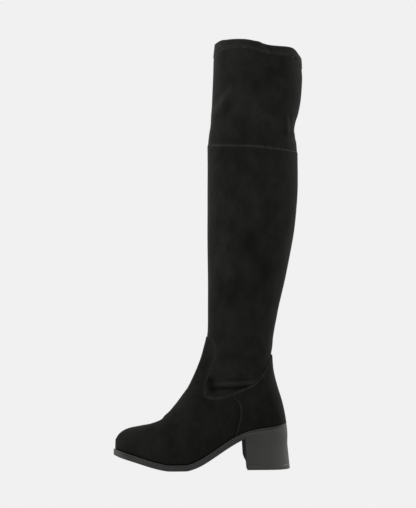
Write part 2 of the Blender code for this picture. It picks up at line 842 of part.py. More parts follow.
def build_tube(name, low_line, high_line, low_raise, high_raise, rings, inset, wall):
    """A hollow tube of the leg between two lines of the side view."""
    turns = [column_turn(column, TAB_TURN, SIDE_COLUMNS) for column in LEG_COLUMNS]
    lows = [reach_line(t, low_line, ABOVE_CALF, LAST_SECTION, low_raise) for t in turns]
    highs = [reach_line(t, high_line, ABOVE_CALF, LAST_SECTION, high_raise) for t in turns]
    rows = []
    for ring in range(rings + 1):
        places = [blend(low, high, ring / rings) for low, high in zip(lows, highs)]
        rows.append(list(zip(places, turns)))
    mesh = shell(rows)
    hollow(mesh, inset, wall)
    return finish(mesh, name, SUEDE, SUEDE_ROUGHNESS)


def stations():
    """X places along the sole, closer at the ends, with the flat ball's limits."""
    middle = 0.5 * (HEEL_BACK + at_share(1.0))
    reach = 0.5 * SOLE_LENGTH
    places = [
        middle - reach * math.cos(math.pi * step / SOLE_STATIONS)
        for step in range(SOLE_STATIONS + 1)
    ]
    flat = [at_share(FLAT_TO), at_share(FLAT_FROM)]
    spacing = STATION_CLEAR * SOLE_LENGTH / SOLE_STATIONS
    kept = [x for x in places if min(abs(x - edge) for edge in flat) > spacing]
    return sorted(kept + flat)


def slab(name, rings, color, roughness):
    """A closed plate of the sole's outline: rings of (margin, height function)."""
    mesh = bmesh.new()
    toe, heel = at_share(1.0), HEEL_BACK
    loops = []
    for margin, height in rings:
        points = []
        shrink = (SOLE_LENGTH - 2.0 * margin) / SOLE_LENGTH
        for x in stations():
            x = toe + margin + (x - toe) * shrink
            half, centre = sole_outline(x, margin)
            points.append((x, half, centre))
        near = [Vector((x, centre - half, height(x))) for x, half, centre in points]
        far = [Vector((x, centre + half, height(x))) for x, half, centre in points[1:-1]]
        loops.append([mesh.verts.new(point) for point in near + far[::-1]])
    count = len(loops[0])
    for low, high in zip(loops, loops[1:]):
        for here in range(count):
            after = (here + 1) % count
            mesh.faces.new((low[here], low[after], high[after], high[here]))
    last = len(stations()) - 1
    for loop in (loops[0], loops[-1]):
        near = loop[: last + 1]
        far = [loop[0]] + loop[:last:-1] + [loop[last]]
        for step in range(last):
            corners = [near[step], near[step + 1], far[step + 1], far[step]]
            mesh.faces.new(list(dict.fromkeys(corners)))
    bmesh.ops.recalc_face_normals(mesh, faces=mesh.faces)
    return finish(mesh, name, color, roughness)


def build_outsole():
    """The sole unit, with a groove that marks the rand round its edge."""

    def level(share):
        return lambda x: blend(sole_bottom(x), sole_top(x), share)

    rings = []
    for row in SOLE_EDGE_ROWS:
        margin = row.softening * EDGE_SOFTENING + row.groove * GROOVE_DEPTH
        rings.append((margin, level(row.level)))
    return slab("outsole", rings, RUBBER, SOLE_ROUGHNESS)


def build_insole():
    margin = UPPER_MARGIN + UPPER_WALL + INSOLE_FIT
    rings = [
        (margin, lambda x: sole_top(x) + GAP),
        (margin, lambda x: sole_top(x) + GAP + INSOLE_LAYER),
    ]
    return slab("insole", rings, BOARD, BOARD_ROUGHNESS)


def heel_plan():
    """Plan points of the heel seat: breast, sides and round back, in order."""
    back = HEEL_BACK - EDGE_SOFTENING
    points = []
    for step in range(HEEL_ARC + 1):
        x = blend(HEEL_BREAST, back, math.sin(0.5 * math.pi * step / HEEL_ARC))
        points.append((x, sole_outline(x, EDGE_SOFTENING)[0]))
    near = [(x, -half) for x, half in points]
    far = [(x, half) for x, half in points[:-1]]
    breast_half = points[0][1]
    breast = []
    for share in BREAST_SHARES:
        hollowing = BREAST_HOLLOW * (1.0 - share * share)
        breast.append((HEEL_BREAST + hollowing, share * breast_half))
    return near + far[::-1] + breast


def heel_ring(mesh, level, margin):
    """Heel outline at a share of its height, 0 on the floor and 1 at the seat."""
    back = HEEL_BACK - EDGE_SOFTENING
    centre = 0.5 * (HEEL_FLOOR_BREAST + HEEL_FLOOR_BACK)
    ring = []
    for x, y in heel_plan():
        share = (x - HEEL_BREAST) / (back - HEEL_BREAST)
        floor_x = blend(HEEL_FLOOR_BREAST, HEEL_FLOOR_BACK, share)
        place_x = blend(floor_x, x, level)
        place_y = y * (1.0 + (1.0 - level) * HEEL_FLOOR_FLARE / (0.5 * BALL_WIDTH))
        inward = Vector((centre - place_x, -place_y)).normalized() * margin
        top = sole_bottom(x) - GAP
        ring.append(mesh.verts.new((place_x + inward.x, place_y + inward.y, top * level)))
    return ring


def heel_body(name, levels, color):
    mesh = bmesh.new()
    loops = [heel_ring(mesh, level, margin) for level, margin in levels]
    count = len(loops[0])
    for low, high in zip(loops, loops[1:]):
        for here in range(count):
            after = (here + 1) % count
            mesh.faces.new((low[here], low[after], high[after], high[here]))
    mesh.faces.new(loops[0])
    mesh.faces.new(loops[-1])
    bmesh.ops.triangulate(mesh, faces=[face for face in mesh.faces if len(face.verts) > 4])
    bmesh.ops.recalc_face_normals(mesh, faces=mesh.faces)
    return finish(mesh, name, color, HEEL_ROUGHNESS)


def main():
    for old in list(bpy.data.objects):
        bpy.data.objects.remove(old, do_unlink=True)
    build_upper()
    build_outsole()
    build_insole()
    build_counter()
    build_shaft()
    build_tube(
        "thigh_panel",
        knee_seam,
        collar_line,
        0.5 * GAP,
        -BAND_HEIGHT - 0.5 * GAP,
        PANEL_RINGS,
        PANEL_INSET,
        SHAFT_WALL,
    )
    build_tube(
        "collar_band",
        collar_line,
        collar_line,
        -BAND_HEIGHT + 0.5 * GAP,
        0.0,
        BAND_RINGS,
        SHAFT_INSET,
        BAND_WALL,
    )
    lift = LIFT_HEIGHT / HEEL_RISE
    joint = lift + GAP / HEEL_RISE
    soft = LIFT_SOFT_TO * lift
    heel_body("top_lift", [(0.0, LIFT_SOFTENING), (soft, 0.0), (lift, 0.0)], RUBBER)
    heel_body("heel", [(joint, 0.0)] + [(level, 0.0) for level in HEEL_LEVELS], RUBBER)


main()
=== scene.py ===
"""Looks of a thigh high boot in black suede, standing on a pale floor."""

import bmesh
import bpy
import math
from collections import namedtuple
from mathutils import Matrix, Vector, kdtree, noise
from mathutils.bvhtree import BVHTree


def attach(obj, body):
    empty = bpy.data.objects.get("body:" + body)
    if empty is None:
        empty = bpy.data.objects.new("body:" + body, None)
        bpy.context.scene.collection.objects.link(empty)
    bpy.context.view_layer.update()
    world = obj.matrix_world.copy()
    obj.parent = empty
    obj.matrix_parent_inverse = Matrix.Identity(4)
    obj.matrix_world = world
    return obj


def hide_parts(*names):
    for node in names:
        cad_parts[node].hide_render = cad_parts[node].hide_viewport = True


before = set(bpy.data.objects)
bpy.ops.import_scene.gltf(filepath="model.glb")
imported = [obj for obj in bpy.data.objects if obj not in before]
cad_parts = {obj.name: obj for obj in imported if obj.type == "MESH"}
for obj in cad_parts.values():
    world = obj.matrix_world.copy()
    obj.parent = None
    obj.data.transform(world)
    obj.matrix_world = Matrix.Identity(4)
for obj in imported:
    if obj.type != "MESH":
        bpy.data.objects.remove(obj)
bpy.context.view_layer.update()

# Camera, in metres and pixels of the photograph's frame
CAMERA_YAW = math.radians(5.0)
CAMERA_DISTANCE = 3.0
CAMERA_SIDE = 0.0867
CAMERA_HEIGHT = 0.3092
FOCAL_PIXELS = 2077.0
IMAGE_HEIGHT = 508.0
SENSOR_HEIGHT = 24.0

# Mesh work, in metres, radians and counts
WELD = 0.00001
QUAD_BEND = math.radians(50.0)
QUAD_SKEW = math.radians(70.0)
RIM_ANGLE = math.radians(38.0)
RIM_STEP = 0.001
SUEDE_CREASE = 0.60
RUBBER_BEVEL = 0.00035
RUBBER_TUCK = 0.0008
TOP_FACING = 0.7
INSIDE_FACING = 0.35
OUTWARD_FROM = 0.3
OUTWARD_TO = 0.8

# Wear and painted light: distances from a rim (wear) or from the sole (painted shadow along it), the
# share of the worn colour on rubber rims, the share of it as painted highlight on fold ridges, and the
# fold height at which painted shade or highlight is full
EDGE_RUB = 0.11
WORN_FROM = 0.0004
WORN_TO = 0.0020
SOLE_SHADOW_FROM = 0.0008
SOLE_SHADOW_TO = 0.0030
RIDGE_LIGHT = 0.45
FOLD_FULL = 0.0026

# Dust and painted highlight on the rubber, the highlight brightest at the toe tip and the heel's back:
# X place and share
RUBBER_DUST_AND_HIGHLIGHT = [
    (-0.2240, 1.0),
    (-0.2170, 0.55),
    (-0.2050, 0.16),
    (-0.1700, 0.06),
    (-0.0350, 0.04),
    (0.0, 0.13),
    (0.0180, 0.34),
    (0.0300, 0.68),
]

# Heel, at its seat and breast, and the sole's tip
HEEL_BREAST = -0.0335
HEEL_MIDDLE = -0.002
HEEL_HALF = 0.028
HEEL_SWELL = 0.0013
SEAT_FROM = 0.034
SEAT_TO = 0.047
SEAT_LAP = 0.0056
CORNER_CUT = 0.0060
CORNER_HIGH = 0.020
BREAST_FACING = 0.6
BREAST_DEEP = 0.004
TOE_TIP = -0.222
TOE_ROOT = -0.185
TOE_REACH = 0.0018
TOE_DROP = 0.0008

# Stitches and the paths that they are laid on
STITCH_PITCH = 0.0030
STITCH_LENGTH = 0.0023
STITCH_THICK = 0.00024
STITCH_RISE = 0.00008
STITCH_SIDES = 6
STITCH_RINGS = 4
TAB_PITCH = 0.0043
TAB_THICK = 0.00036
PATH_STEPS = 12
PATH_OUT = 0.20
RING_STEPS = 180
RING_LEAD = 12

# Leg axis in the side view: height and X place
AXIS = [
    (0.03, -0.060),
    (0.11, -0.050),
    (0.17, -0.043),
    (0.23, -0.040),
    (0.33, -0.030),
    (0.46, -0.024),
    (0.61, -0.016),
]


def along(table, value):
    """Value of a table of (place, value) pairs, joined by straight lines."""
    for (x0, y0), (x1, y1) in zip(table, table[1:]):
        if value <= x1:
            share = max(0.0, min(1.0, (value - x0) / (x1 - x0)))
            return y0 + (y1 - y0) * share
    return table[-1][1]


def ease(low, high, value):
    """A soft step from 0 at low to 1 at high."""
    share = max(0.0, min(1.0, (value - low) / (high - low)))
    return share * share * (3.0 - 2.0 * share)


def from_axis(point):
    """Direction from the leg's axis to a point, level with the floor."""
    away = Vector((point.x - along(AXIS, point.z), point.y, 0.0))
    return away.normalized()


# Folds in the side view, in metres. height is out of the leather, bow is how
# far the fold's middle curves off a straight line, and face is -1 for the
# outer side, 1 for the inner side and 0 for both.
Fold = namedtuple("Fold", "start end width height bow face")
ANKLE_FOLDS = [
    Fold((-0.082, 0.1165), (-0.026, 0.1200), 0.0017, -0.0022, -0.001, -1),
    Fold((-0.080, 0.1222), (-0.016, 0.1262), 0.0026, 0.0022, -0.001, -1),
    Fold((-0.066, 0.1285), (-0.020, 0.1310), 0.0016, -0.0008, -0.001, -1),
    Fold((-0.086, 0.1340), (-0.082, 0.1080), 0.0062, -0.0022, 0.000, -1),
    Fold((-0.062, 0.1118), (-0.034, 0.1150), 0.0026, -0.0010, 0.000, -1),
    Fold((-0.080, 0.1200), (-0.024, 0.1290), 0.0030, -0.0024, -0.002, 1),
    Fold((-0.084, 0.1290), (-0.014, 0.1400), 0.0036, 0.0018, -0.003, 1),
    Fold((-0.072, 0.1600), (-0.020, 0.1560), 0.0060, -0.0008, 0.003, 0),
    Fold((0.014, 0.1770), (-0.012, 0.1740), 0.0090, 0.0010, 0.000, 0),
    Fold((-0.040, 0.2400), (0.010, 0.2150), 0.0090, 0.0010, 0.002, 0),
    Fold((-0.070, 0.2700), (-0.030, 0.3000), 0.0110, 0.0009, 0.003, 0),
    Fold((0.000, 0.2700), (-0.040, 0.3400), 0.0120, -0.0009, 0.004, 0),
    Fold((-0.060, 0.3600), (0.010, 0.4000), 0.0140, 0.0010, 0.006, 0),
]
KNEE_FOLDS = [
    Fold((-0.083, 0.4970), (-0.055, 0.5430), 0.0062, 0.0024, 0.002, -1),
    Fold((-0.0885, 0.4880), (-0.0885, 0.5280), 0.0040, -0.0011, 0.000, 0),
    Fold((-0.072, 0.4980), (-0.056, 0.5220), 0.0050, -0.0010, 0.002, -1),
    Fold((-0.076, 0.5050), (-0.050, 0.5330), 0.0070, 0.0018, 0.003, 1),
    Fold((0.0190, 0.5120), (0.0240, 0.4800), 0.0040, 0.0009, 0.002, -1),
    Fold((0.0275, 0.5080), (0.0300, 0.4820), 0.0040, -0.0010, 0.001, -1),
    Fold((0.0385, 0.5080), (0.0380, 0.4820), 0.0040, -0.0017, 0.000, 0),
    Fold((0.0280, 0.5080), (0.0320, 0.4800), 0.0050, -0.0011, 0.001, 1),
    Fold((0.042, 0.4770), (0.012, 0.4810), 0.0050, -0.0012, 0.001, 0),
    Fold((0.010, 0.4900), (-0.030, 0.5250), 0.0100, 0.0011, 0.004, 0),
    Fold((-0.030, 0.5400), (0.020, 0.5700), 0.0110, -0.0010, 0.004, 0),
    Fold((-0.060, 0.5600), (-0.050, 0.5980), 0.0090, 0.0010, 0.002, 0),
]
COLLAR_FOLDS = [
    Fold((-0.026, 0.6160), (-0.006, 0.5920), 0.0026, 0.0013, 0.001, -1),
    Fold((-0.018, 0.6160), (0.002, 0.5920), 0.0026, -0.0011, 0.001, -1),
]
VAMP_FOLDS = [
    Fold((-0.2175, 0.0270), (-0.2120, 0.0430), 0.0090, 0.0011, 0.000, 0),
    Fold((-0.178, 0.0630), (-0.150, 0.0740), 0.0070, -0.0022, 0.000, 0),
    Fold((-0.142, 0.0860), (-0.116, 0.1120), 0.0100, 0.0007, 0.000, 0),
    Fold((-0.110, 0.1080), (-0.080, 0.0880), 0.0060, -0.0008, 0.002, 0),
    Fold((-0.150, 0.0640), (-0.140, 0.0340), 0.0070, -0.0007, 0.002, 0),
    Fold((-0.136, 0.0770), (-0.126, 0.0400), 0.0080, 0.0006, 0.002, 0),
]
FOLD_STARTS = (-0.12, 0.22)
FOLD_ENDS = (0.78, 1.12)
FACE_HALF = 0.012

# Slack and fullness of the leather all over
SOFTNESS = 0.0006
SOFT_SCALE = 18.0
FULLNESS = 0.0002

# Collar: its front corner rises, all of it leans in, and its back leans more
COLLAR_RISE = [
    (-0.0820, 0.0055),
    (-0.0760, 0.0028),
    (-0.0660, 0.0),
    (0.0520, 0.0),
]
COLLAR_FROM = 0.560
COLLAR_TO = 0.600
COLLAR_LEAN = 0.0024
LEAN_FROM = 0.580
LEAN_TO = 0.614
BACK_LEAN = 0.0017
BACK_FROM = 0.020
BACK_TO = 0.045
BACK_LOW = 0.560
BACK_HIGH = 0.582
BACK_EASED = 0.596
BACK_TOP = 0.612

# Seams: how near a rim counts as one, laps, the thinned layer and rubbed edges
SEAM_REACH = 0.0012
SEAM_LAP = 0.0001
HEM_LAP = 0.0009
SKIVE = 0.0010
SKIVE_FROM = 0.0010
SKIVE_TO = 0.0120
RUB_TOP = 0.195
SEAM_RUB = [
    (-0.062, 0.90),
    (-0.040, 0.55),
    (-0.022, 0.25),
    (0.000, 0.10),
]


def fold_height(folds, point):
    """How far the leather stands out at a point."""
    total = 0.0
    face = max(-1.0, min(1.0, point.y / FACE_HALF))
    for fold in folds:
        x0, z0 = fold.start
        x1, z1 = fold.end
        dx, dz = x1 - x0, z1 - z0
        length = math.hypot(dx, dz)
        share = ((point.x - x0) * dx + (point.z - z0) * dz) / (length * length)
        off = ((point.z - z0) * dx - (point.x - x0) * dz) / length
        off -= fold.bow * 4.0 * share * (1.0 - share)
        reach = ease(*FOLD_STARTS, share) * (1.0 - ease(*FOLD_ENDS, share))
        seen = 1.0 if fold.face == 0 else 0.5 + 0.5 * fold.face * face
        total += fold.height * reach * seen * math.exp(-((off / fold.width) ** 2))
    return total


def collar_move(point):
    """How the top edge rises at the front and leans in, most at the back."""
    rise = along(COLLAR_RISE, point.x) * ease(COLLAR_FROM, COLLAR_TO, point.z)
    lean = COLLAR_LEAN * ease(LEAN_FROM, LEAN_TO, point.z)
    back = BACK_LEAN * ease(BACK_FROM, BACK_TO, point.x) * ease(BACK_LOW, BACK_HIGH, point.z)
    lean += back * (1.0 - ease(BACK_EASED, BACK_TOP, point.z))
    return Vector((0.0, 0.0, rise)) - from_axis(point) * lean


# Noise patterns
Pattern = namedtuple("Pattern", "scale detail roughness stretch")
EVEN = (1.0, 1.0, 1.0)
SUEDE_CLOUDS = Pattern(26.0, 3.0, 0.55, (1.0, 1.0, 0.7))
SUEDE_PATCHES = Pattern(95.0, 3.0, 0.6, (1.0, 1.0, 0.6))
SUEDE_NAP = Pattern(900.0, 4.0, 0.7, (1.0, 1.0, 0.45))
SUEDE_GRAIN = Pattern(2600.0, 2.0, 0.6, EVEN)
RUBBER_CLOUDS = Pattern(45.0, 4.0, 0.6, EVEN)
RUBBER_SPECKS = Pattern(1500.0, 3.0, 0.6, EVEN)
THREAD_TWIST = Pattern(3000.0, 2.0, 0.5, EVEN)

# Shares taken from a pattern: its low and high value, and the share at each
CLOUD_SHARE = (0.36, 0.66, 0.0, 0.62)
PATCH_SHARE = (0.38, 0.68, 0.0, 0.36)
NAP_SHARE = (0.35, 0.70, -0.10, 0.21)
RUB_SHARE = (0.30, 0.62, 0.35, 1.0)
RUBBER_SHARE = (0.35, 0.70, 0.0, 1.0)
KNIT_SHARE = (0.0, 0.7, 0.0, 1.0)
SPECK_RANGE = (0.3, 0.7)

# Bump layers: distance in metres and strength
NAP_BUMP = (0.00030, 0.55)
GRAIN_BUMP = (0.00012, 0.45)
SPECK_BUMP = (0.00008, 0.35)
CLOUD_BUMP = (0.0010, 0.10)
KNIT_BUMP = (0.0002, 0.4)
TWIST_BUMP = (0.0001, 0.5)

# Finishes
SUEDE_ROUGHNESS = 0.92
SUEDE_SPECULAR = 0.12
# Colour of painted shade in fold valleys and along the sole
SUEDE_PAINTED_SHADE = (0.0012, 0.0012, 0.0011)
NAP_SHEEN_ROUGHNESS = 0.45
NAP_SHEEN_TINT = (0.80, 0.80, 0.76)
# The dust colour, also used as painted highlight at the toe tip and the heel's back
DUST_AND_HIGHLIGHT = (0.26, 0.252, 0.240)
DUST_AND_HIGHLIGHT_SHARE = 0.5
SMOOTHER = 0.05
ROUGHER = 0.08
COAT_ROUGHNESS = 0.30
CLOTH_ROUGHNESS = 0.85
CLOTH_SPECULAR = 0.2
CLOTH_SHEEN = 0.2
THREAD_ROUGHNESS = 0.6
THREAD_SPECULAR = 0.35
THREAD_SHADE = 0.7


def new_material(name, roughness, specular):
    made = bpy.data.materials.new(name)
    made.use_nodes = True
    shader = made.node_tree.nodes["Principled BSDF"]
    shader.inputs["Roughness"].default_value = roughness
    shader.inputs["Specular IOR Level"].default_value = specular
    return made, made.node_tree, shader


def noise_node(tree, place, pattern):
    mapping = tree.nodes.new("ShaderNodeMapping")
    mapping.inputs["Scale"].default_value = pattern.stretch
    tree.links.new(place, mapping.inputs["Vector"])
    made = tree.nodes.new("ShaderNodeTexNoise")
    made.inputs["Scale"].default_value = pattern.scale
    made.inputs["Detail"].default_value = pattern.detail
    made.inputs["Roughness"].default_value = pattern.roughness
    tree.links.new(mapping.outputs["Vector"], made.inputs["Vector"])
    return made.outputs["Fac"]


def ramp(tree, value, low, high, start, end):
    """A value from low to high, turned into one from start to end."""
    made = tree.nodes.new("ShaderNodeMapRange")
    made.inputs["From Min"].default_value = low
    made.inputs["From Max"].default_value = high
    made.inputs["To Min"].default_value = start
    made.inputs["To Max"].default_value = end
    tree.links.new(value, made.inputs["Value"])
    return made.outputs["Result"]


def mixed(tree, share, low, high):
    """A colour between two colours, each a tuple or a socket."""
    made = tree.nodes.new("ShaderNodeMix")
    made.data_type = "RGBA"
    tree.links.new(share, made.inputs["Factor"])
    for socket, color in (("A", low), ("B", high)):
        inlet = [item for item in made.inputs if item.name == socket and item.type == "RGBA"][0]
        if isinstance(color, tuple):
            inlet.default_value = (*color, 1.0)
        else:
            tree.links.new(color, inlet)
    return [item for item in made.outputs if item.type == "RGBA"][0]


def attribute(tree, name):
    made = tree.nodes.new("ShaderNodeAttribute")
    made.attribute_name = name
    return made.outputs["Fac"]


def math_node(tree, operation, first, second):
    """A sum or product of two values, each a number or a socket."""
    made = tree.nodes.new("ShaderNodeMath")
    made.operation = operation
    for inlet, value in zip(made.inputs, (first, second)):
        if isinstance(value, float):
            inlet.default_value = value
        else:
            tree.links.new(value, inlet)
    return made.outputs["Value"]


def bump(tree, shader, *layers):
    """Adds bump layers, each a (height, distance, strength)."""
    normal = None
    for height, distance, strength in layers:
        made = tree.nodes.new("ShaderNodeBump")
        made.inputs["Distance"].default_value = distance
        made.inputs["Strength"].default_value = strength
        tree.links.new(height, made.inputs["Height"])
        if normal is not None:
            tree.links.new(normal, made.inputs["Normal"])
        normal = made.outputs["Normal"]
    tree.links.new(normal, shader.inputs["Normal"])


def suede(name, dark, mid, wear_and_highlight, sheen):
    """Napped leather in clouds and patches, lighter where it is worn and as painted highlight on fold
    ridges, and darkened by painted shade in its folds and along the sole.
    """
    made, tree, shader = new_material(name, SUEDE_ROUGHNESS, SUEDE_SPECULAR)
    place = tree.nodes.new("ShaderNodeTexCoord").outputs["Object"]
    clouds = noise_node(tree, place, SUEDE_CLOUDS)
    patches = noise_node(tree, place, SUEDE_PATCHES)
    nap = noise_node(tree, place, SUEDE_NAP)
    grain = noise_node(tree, place, SUEDE_GRAIN)
    broad = ramp(tree, clouds, *CLOUD_SHARE)
    small = ramp(tree, patches, *PATCH_SHARE)
    fine = ramp(tree, nap, *NAP_SHARE)
    share = math_node(tree, "ADD", math_node(tree, "ADD", broad, small), fine)
    color = mixed(tree, share, dark, mid)
    # The worn colour on rubbed rims, and as painted highlight on fold ridges
    lightening = math_node(tree, "MULTIPLY", attribute(tree, "wear_and_highlight"), ramp(tree, patches, *RUB_SHARE))
    lit = mixed(tree, lightening, color, wear_and_highlight)
    # Painted shade: darker in fold valleys and in a painted shadow along the sole
    with_painted_shade = mixed(tree, attribute(tree, "shade"), lit, SUEDE_PAINTED_SHADE)
    tree.links.new(with_painted_shade, shader.inputs["Base Color"])
    shader.inputs["Sheen Weight"].default_value = sheen
    shader.inputs["Sheen Roughness"].default_value = NAP_SHEEN_ROUGHNESS
    shader.inputs["Sheen Tint"].default_value = (*NAP_SHEEN_TINT, 1.0)
    bump(tree, shader, (nap, *NAP_BUMP), (grain, *GRAIN_BUMP))
    return made


def rubber(name, dark, light, roughness, specular, coat):
    """Smooth rubber with faint clouds and specks, and dust where it is worn; the dust colour also
    serves as painted highlight at the toe tip and the heel's back.
    """
    made, tree, shader = new_material(name, roughness, specular)
    place = tree.nodes.new("ShaderNodeTexCoord").outputs["Object"]
    clouds = noise_node(tree, place, RUBBER_CLOUDS)
    specks = noise_node(tree, place, RUBBER_SPECKS)
    color = mixed(tree, ramp(tree, clouds, *RUBBER_SHARE), dark, light)
    # Dust on worn rims, and painted highlight at the toe tip and the heel's back
    lightening = math_node(tree, "MULTIPLY", attribute(tree, "wear_and_highlight"), DUST_AND_HIGHLIGHT_SHARE)
    tree.links.new(mixed(tree, lightening, color, DUST_AND_HIGHLIGHT), shader.inputs["Base Color"])
    uneven = ramp(tree, specks, *SPECK_RANGE, roughness - SMOOTHER, roughness + ROUGHER)
    tree.links.new(uneven, shader.inputs["Roughness"])
    shader.inputs["Coat Weight"].default_value = coat
    shader.inputs["Coat Roughness"].default_value = COAT_ROUGHNESS
    bump(tree, shader, (specks, *SPECK_BUMP), (clouds, *CLOUD_BUMP))
    return made


def lining(name, dark, light, cells):
    """Knitted lining cloth."""
    made, tree, shader = new_material(name, CLOTH_ROUGHNESS, CLOTH_SPECULAR)
    place = tree.nodes.new("ShaderNodeTexCoord").outputs["Object"]
    knit = tree.nodes.new("ShaderNodeTexVoronoi")
    knit.inputs["Scale"].default_value = cells
    tree.links.new(place, knit.inputs["Vector"])
    share = ramp(tree, knit.outputs["Distance"], *KNIT_SHARE)
    tree.links.new(mixed(tree, share, light, dark), shader.inputs["Base Color"])
    shader.inputs["Sheen Weight"].default_value = CLOTH_SHEEN
    bump(tree, shader, (knit.outputs["Distance"], *KNIT_BUMP))
    return made


def thread(name, color):
    """Twisted sewing thread."""
    made, tree, shader = new_material(name, THREAD_ROUGHNESS, THREAD_SPECULAR)
    place = tree.nodes.new("ShaderNodeTexCoord").outputs["Object"]
    twist = noise_node(tree, place, THREAD_TWIST)
    shaded = tuple(THREAD_SHADE * channel for channel in color)
    tree.links.new(mixed(tree, twist, shaded, color), shader.inputs["Base Color"])
    bump(tree, shader, (twist, *TWIST_BUMP))
    return made


# The foot's copy of the suede is darker than the leg's: painted shade, for light that falls off
# towards the floor; the hem's copy is lighter
LEG_SUEDE = suede(
    "leg_suede",
    dark=(0.0056, 0.0056, 0.0050),
    mid=(0.0168, 0.0168, 0.0152),
    wear_and_highlight=(0.034, 0.034, 0.031),
    sheen=0.10,
)
FOOT_SUEDE = suede(
    "foot_suede",
    dark=(0.0046, 0.0046, 0.0041),
    mid=(0.0128, 0.0128, 0.0115),
    wear_and_highlight=(0.030, 0.030, 0.027),
    sheen=0.08,
)
HEM_SUEDE = suede(
    "hem_suede",
    dark=(0.0090, 0.0090, 0.0082),
    mid=(0.0195, 0.0195, 0.0178),
    wear_and_highlight=(0.045, 0.045, 0.042),
    sheen=0.12,
)
SOLE_RUBBER = rubber(
    "sole_rubber",
    dark=(0.010, 0.010, 0.0095),
    light=(0.020, 0.0195, 0.019),
    roughness=0.42,
    specular=0.45,
    coat=0.15,
)
# A darker, matte copy of the rubber for the heel's breast: painted shade under the arch
SHADED_BREAST_RUBBER = rubber(
    "painted_shade_breast_rubber",
    dark=(0.0030, 0.0031, 0.0026),
    light=(0.0050, 0.0051, 0.0043),
    roughness=0.80,
    specular=0.10,
    coat=0.0,
)
HEEL_RUBBER = rubber(
    "heel_rubber",
    dark=(0.0210, 0.0208, 0.0197),
    light=(0.0272, 0.0268, 0.0254),
    roughness=0.38,
    specular=0.45,
    coat=0.20,
)
LIFT_RUBBER = rubber(
    "lift_rubber",
    dark=(0.0230, 0.0227, 0.0217),
    light=(0.0290, 0.0286, 0.0274),
    roughness=0.44,
    specular=0.42,
    coat=0.10,
)
LEG_LINING = lining("leg_lining", dark=(0.010, 0.010, 0.010), light=(0.028, 0.028, 0.027), cells=900.0)
SOCK_CLOTH = lining("sock_cloth", dark=(0.020, 0.019, 0.018), light=(0.040, 0.038, 0.036), cells=700.0)
BLACK_THREAD = thread("black_thread", (0.032, 0.032, 0.029))

# Pieces


def merged_copy(node, crease_weight):
    """A merged copy of a CAD node's mesh, in quads, with its rims marked."""
    mesh = bmesh.new()
    mesh.from_mesh(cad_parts[node].data)
    bmesh.ops.remove_doubles(mesh, verts=mesh.verts[:], dist=WELD)
    bmesh.ops.join_triangles(
        mesh, faces=mesh.faces[:], angle_face_threshold=QUAD_BEND, angle_shape_threshold=QUAD_SKEW
    )
    crease = mesh.edges.layers.float.new("crease_edge")
    rims = []
    for edge in mesh.edges:
        if edge.calc_face_angle(0.0) > RIM_ANGLE:
            edge[crease] = crease_weight
            rims.append((edge.verts[0].co.copy(), edge.verts[1].co.copy()))
    return mesh, rims


def rim_tree(rims):
    """Points along the rims, for finding how far a point is from the nearest one."""
    spots = []
    for start, end in rims:
        steps = max(1, int((end - start).length / RIM_STEP))
        spots.extend(start.lerp(end, step / steps) for step in range(steps + 1))
    tree = kdtree.KDTree(len(spots))
    for index, spot in enumerate(spots):
        tree.insert(spot, index)
    tree.balance()
    return tree


def make_object(name, mesh, *materials):
    data = bpy.data.meshes.new(name)
    mesh.to_mesh(data)
    mesh.free()
    made = bpy.data.objects.new(name, data)
    bpy.context.scene.collection.objects.link(made)
    for item in materials:
        data.materials.append(item)
    return made


def smoothed(made, levels):
    """The piece with its subdivision applied."""
    modifier = made.modifiers.new("smooth", "SUBSURF")
    modifier.levels = levels
    modifier.render_levels = levels
    graph = bpy.context.evaluated_depsgraph_get()
    data = bpy.data.meshes.new_from_object(made.evaluated_get(graph))
    made.modifiers.clear()
    made.data = data
    return made


def closed(made, neighbours, lap):
    """Draws the rims of a piece to those of its neighbours, so that no light passes a seam."""
    trees = [surface_of(node) for node in neighbours]
    for vert in made.data.vertices:
        for tree in trees:
            near, _, _, gap = tree.find_nearest(vert.co, SEAM_REACH)
            if near is not None and gap > WELD:
                vert.co += (near - vert.co) / gap * (0.5 * gap + lap)


def skived(made, neighbour):
    """Thins a layer towards the piece it meets."""
    tree = surface_of(neighbour)
    made.data.update()
    for vert in made.data.vertices:
        gap = tree.find_nearest(vert.co)[3]
        vert.co -= from_axis(vert.co) * SKIVE * (1.0 - ease(SKIVE_FROM, SKIVE_TO, gap))


